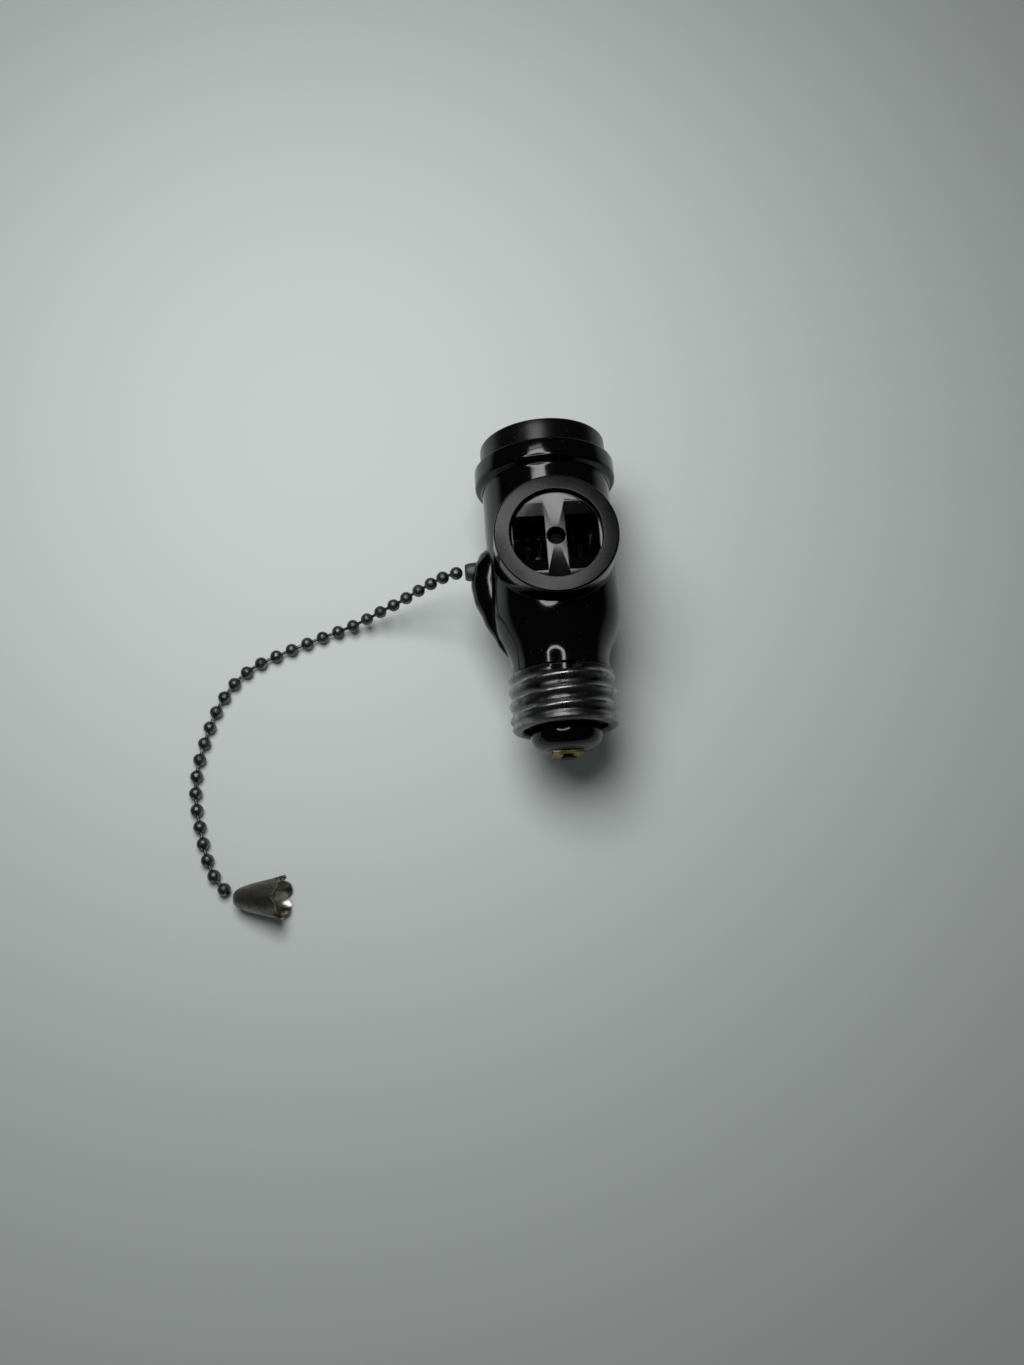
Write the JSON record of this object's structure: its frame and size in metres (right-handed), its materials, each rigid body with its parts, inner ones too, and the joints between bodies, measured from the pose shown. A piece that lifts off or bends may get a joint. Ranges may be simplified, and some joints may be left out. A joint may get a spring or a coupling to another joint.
{
  "type": "pull-chain lampholder adapter",
  "caption": "Black moulded screw-in lampholder adapter with a lamp socket, slotted outlets on two sides and a bead-chain pull switch with a bell-shaped end.",
  "frame": {"origin": "centre of the bottom of the adapter's bounding box without the chain, on the surface that its back outlet rests on", "axes": "+Y along the adapter towards the lamp socket's mouth, screw base towards -Y; +Z out of the front outlet; the chain leaves towards -X"},
  "size_m": [0.1156, 0.1157, 0.0448],
  "materials": {
    "phenolic": "compression-moulded black phenolic, glossy",
    "shell_aluminium": "rolled aluminium sheet, satin",
    "contact_brass": "brass strip, dulled by handling",
    "fibre": "vulcanised fibre, matt",
    "steel": "zinc-plated steel",
    "chain_nickel": "nickel-plated steel, dulled to grey"
  },
  "bodies": {
    "adapter": {"body_housing": "phenolic", "mouth_collar": "phenolic", "base_insulator": "phenolic", "base_screw_shell": "shell_aluminium", "lamp_screw_shell": "shell_aluminium", "base_contact_plate": "contact_brass", "base_contact_eyelet": "contact_brass", "lamp_centre_contact": "contact_brass", "outlet_contact_front_live": "contact_brass", "outlet_contact_front_neutral": "contact_brass", "outlet_contact_back_live": "contact_brass", "outlet_contact_back_neutral": "contact_brass", "live_bus_strap": "contact_brass", "neutral_bus_strap": "contact_brass", "lamp_feed_strap": "contact_brass", "fixed_contact": "contact_brass", "detent_spring": "contact_brass", "socket_insulator": "fibre", "socket_screw_front": "steel", "socket_screw_back": "steel", "switch_plate_front": "steel", "switch_plate_back": "steel", "frame_post": "steel", "spring_post": "steel", "outlet_rivet": "steel", "return_spring": "steel", "chain_guide_bushing": "chain_nickel"},
    "pull": {"pull_chain": "chain_nickel", "bell_pull": "chain_nickel", "inner_chain": "chain_nickel"},
    "lever": {"pull_lever": "steel", "pawl_pin": "steel"},
    "pawl": {"drive_pawl": "steel"},
    "rotor": {"lever_shaft": "steel", "ratchet_wheel": "steel", "switch_cam": "fibre"},
    "leaf": {"moving_contact_leaf": "contact_brass"}
  },
  "joints": [
    {"name": "chain_pull", "type": "slide", "parent": "adapter", "child": "pull", "axis": [-1, 0, 0], "range_m": [0, 0.0064], "stiffness_N_per_m": 250, "springref_m": -0.004},
    {"name": "lever_swing", "type": "hinge", "parent": "adapter", "child": "lever", "pos_m": [-0.00762, -0.00317, 0.0224], "axis": [0, 0, 1], "range_deg": [0, 31.4], "deforming": ["return_spring"]},
    {"name": "pawl_pivot", "type": "hinge", "parent": "lever", "child": "pawl", "pos_m": [-0.0059, 0.00299, 0.0224], "axis": [0, 0, -1], "range_deg": [0, 10], "stiffness_Nm_per_rad": 0.0005, "springref_deg": -17.19},
    {"name": "rotor_turn", "type": "hinge", "parent": "adapter", "child": "rotor", "pos_m": [-0.00762, -0.00317, 0.0224], "axis": [0, 0, 1], "continuous": true},
    {"name": "leaf_flex", "type": "hinge", "parent": "adapter", "child": "leaf", "pos_m": [-0.00332, -0.00747, 0.0224], "axis": [0, 0, 1], "range_deg": [0, 4], "stiffness_Nm_per_rad": 0.005, "springref_deg": -5.73}
  ],
  "couplings": [
    {"joint": "lever_swing", "follows": "chain_pull", "rad_per_m": 85.519}
  ]
}
